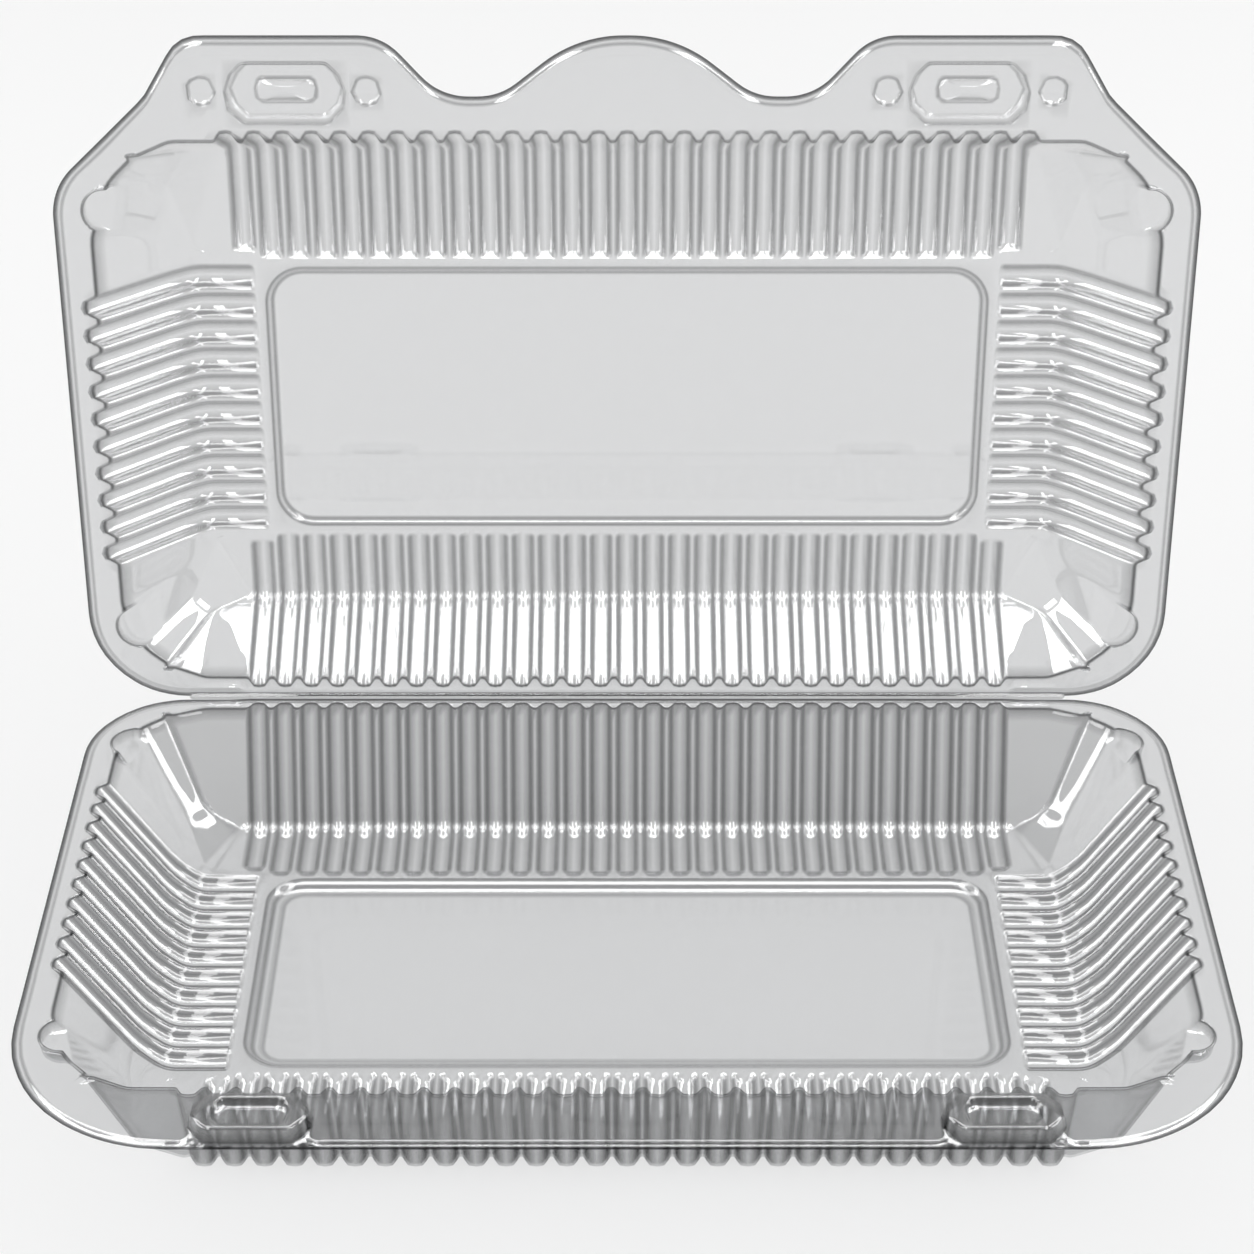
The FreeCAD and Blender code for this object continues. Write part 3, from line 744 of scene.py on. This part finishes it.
def clear_material():
    """Thin clear plastic: mostly lets light through, greyer at a slant, glossy all over.

    Light on its way to the floor is held back less than the eye's, as a clear sheet bends
    light aside more than it stops it. The stored grey is painted shade: where it is high the sheet
    is darker and less glossy.
    """
    material, tree, surface = new_material("clear_sheet")
    facing = Number(tree, shader(tree, "ShaderNodeLayerWeight", {"Blend": 0.5}, "Facing"))
    seen = Number(tree, shader(tree, "ShaderNodeLightPath", {}, "Is Camera Ray"))
    edge = Number(tree, shader(tree, "ShaderNodeAttribute", {}, "Fac", attribute_name="edge"))
    passing = shader(tree, "ShaderNodeBsdfTransparent", {"Color": PASSING})
    tinted = shader(tree, "ShaderNodeBsdfTransparent", {"Color": TINTED})
    haze_and_shade = shader(tree, "ShaderNodeBsdfTransparent", {"Color": HAZE_AND_PAINTED_SHADE})
    gloss = shader(tree, "ShaderNodeBsdfGlossy", {"Color": GLOSS_COLOUR, "Roughness": 0.0})
    clear = shader(tree, "ShaderNodeMixShader", {0: seen, 1: passing, 2: tinted})
    slant = facing ** SLANT_POWER
    # The stored grey is painted shade: it darkens the sheet and takes away its gloss
    haze_and_shade_share = FLAT_HAZE + SLANT_HAZE * slant + EDGE_PAINTED_SHADE * edge
    haze_and_shade_share = (SHADOW_SHARE + (1 - SHADOW_SHARE) * seen) * haze_and_shade_share
    body = shader(tree, "ShaderNodeMixShader", {0: haze_and_shade_share, 1: clear, 2: haze_and_shade})
    gloss_share = seen * (FLAT_GLOSS + SLANT_GLOSS * slant) * (1.0 - EDGE_GLOSS_LOSS * edge)
    whole = shader(tree, "ShaderNodeMixShader", {0: gloss_share, 1: body, 2: gloss})
    tree.links.new(whole, surface)
    return material


def floor_material():
    """Plain pale floor."""
    material, tree, surface = new_material("pale_floor")
    tree.links.new(shader(tree, "ShaderNodeBsdfDiffuse", {"Color": FLOOR_COLOUR}), surface)
    return material


def lamp_material():
    """Even white glow that shows more in gloss than it lights."""
    material, tree, surface = new_material("strip_glow")
    mirrored = Number(tree, shader(tree, "ShaderNodeLightPath", {}, "Is Glossy Ray"))
    strength = GLOW_STRENGTH * (1.0 + GLOW_IN_GLOSS * mirrored)
    glow = shader(tree, "ShaderNodeEmission", {"Color": WHITE, "Strength": strength})
    tree.links.new(glow, surface)
    return material


def stage_piece(name, points, faces, material):
    """Object of the stage made of the points and quads."""
    mesh = bpy.data.meshes.new(name)
    mesh.from_pydata(points, [], faces)
    mesh.materials.append(material)
    piece = bpy.data.objects.new(name, mesh)
    bpy.context.scene.collection.objects.link(piece)
    return piece


def pale_floor():
    """Flat square floor just under the object."""
    low, high = -FLOOR_HALF, FLOOR_HALF
    corners = [(low, low, FLOOR_Z), (high, low, FLOOR_Z), (high, high, FLOOR_Z), (low, high, FLOOR_Z)]
    return stage_piece("floor", corners, [(0, 1, 2, 3)], floor_material())


def side_card(name, x, material):
    """Upright lamp card beside the object."""
    (near, far), (low, high) = CARD_Y, CARD_Z
    corners = [(x, near, low), (x, far, low), (x, far, high), (x, near, high)]
    return stage_piece(name, corners, [(0, 1, 2, 3)], material)


def strip(name, offset, across, last, material):
    """Long narrow lamp bent in an arc over the object, from low on one side to low on the other.

    The angle runs along the arc; the other parameter crosses its width.
    """
    angle = np.radians(np.linspace(STRIP_START, last, STRIP_STEPS))[:, None]
    width = np.array([-STRIP_HALF, STRIP_HALF])
    along = -STRIP_RADIUS * np.cos(angle) + 0 * width
    up = STRIP_LIFT + STRIP_RADIUS * np.sin(angle) + 0 * width
    beside = offset + width + 0 * along
    parts = (along, beside, up) if across else (beside, along, up)
    points = np.stack(parts, axis=2).reshape(-1, 3)
    start = np.arange(len(angle) - 1) * 2
    faces = np.stack([start, start + 1, start + 3, start + 2], axis=1)
    return stage_piece(name, points.tolist(), faces.tolist(), material)


def sun(name, strength, angle, aim):
    """Broad lamp whose light travels along the aim."""
    lamp = bpy.data.lights.new(name, "SUN")
    lamp.energy, lamp.angle = strength, math.radians(angle)
    holder = bpy.data.objects.new(name, lamp)
    dx, dy, dz = aim
    holder.rotation_euler = (math.atan2(math.hypot(dx, dy), -dz), 0.0, math.atan2(dy, dx) - math.pi / 2)
    bpy.context.scene.collection.objects.link(holder)


def build_base():
    """Sheet of the base. Its depth points down, so its quads are turned to face outward."""
    outline = rounded_chain(BASE_OUTLINE, BASE_RADII)
    # The base's back wall gets painted shade
    grid, greys = half_grid(BASE_DEPTH, outline, BASE_ACROSS, BASE_STEPS, BACK_WALL_PAINTED_SHADE)
    points, faces, greys = with_features(grid, greys, BASE_FEATURES)
    return mesh_object("base_sheet", base_place(points) / PER_METRE, faces[:, ::-1], greys)


def build_lid():
    """Sheet of the lid."""
    outline = rounded_chain(LID_OUTLINE, LID_RADII)
    # The lid's back wall gets no painted shade
    grid, greys = half_grid(LID_DEPTH, outline, LID_ACROSS, LID_STEPS, 0.0)
    points, faces, greys = with_features(grid, greys, LID_FEATURES)
    return mesh_object("lid_sheet", lid_place(points) / PER_METRE, faces, greys)


def build_object():
    """Both halves and the hinge bead, standing for the CAD pieces."""
    base = build_base()
    lid = build_lid()
    bead = tube("hinge_bead", HINGE_HALF, HINGE_RADIUS)
    clear = clear_material()
    for piece, body in ((base, "base"), (lid, "lid"), (bead, "lid")):
        piece.data.materials.append(clear)
        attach(piece, body)
    thicken(base)
    thicken(lid)
    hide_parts("base_tray")
    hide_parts("lid")


def build_camera():
    """Camera at the photograph's place, looking down at the open pack."""
    lens = bpy.data.cameras.new("camera")
    lens.lens, lens.sensor_width = CAMERA_LENS, SENSOR_WIDTH
    camera = bpy.data.objects.new("camera", lens)
    camera.location = CAMERA_PLACE
    camera.rotation_euler = (math.radians(CAMERA_TILT), 0.0, 0.0)
    bpy.context.scene.collection.objects.link(camera)
    bpy.context.scene.camera = camera


def build_stage():
    """Floor, lamps, world and camera."""
    pale_floor()
    sun("key_lamp", KEY_STRENGTH, KEY_ANGLE, KEY_AIM)
    glow = lamp_material()
    strip("strip_left", -SIDE_STRIP_X, False, SIDE_STRIP_END, glow)
    strip("strip_right", SIDE_STRIP_X, False, SIDE_STRIP_END, glow)
    strip("strip_front", FRONT_STRIP_Y, True, LONG_STRIP_END, glow)
    strip("strip_back", BACK_STRIP_Y, True, LONG_STRIP_END, glow)
    side_card("side_card_left", -CARD_X, glow)
    side_card("side_card_right", CARD_X, glow)
    world = bpy.data.worlds.new("studio")
    world.use_nodes = True
    background = world.node_tree.nodes["Background"]
    background.inputs["Color"].default_value = WHITE
    background.inputs["Strength"].default_value = WORLD_STRENGTH
    bpy.context.scene.world = world
    build_camera()
    bpy.context.scene.view_settings.view_transform = "Standard"


build_object()
build_stage()
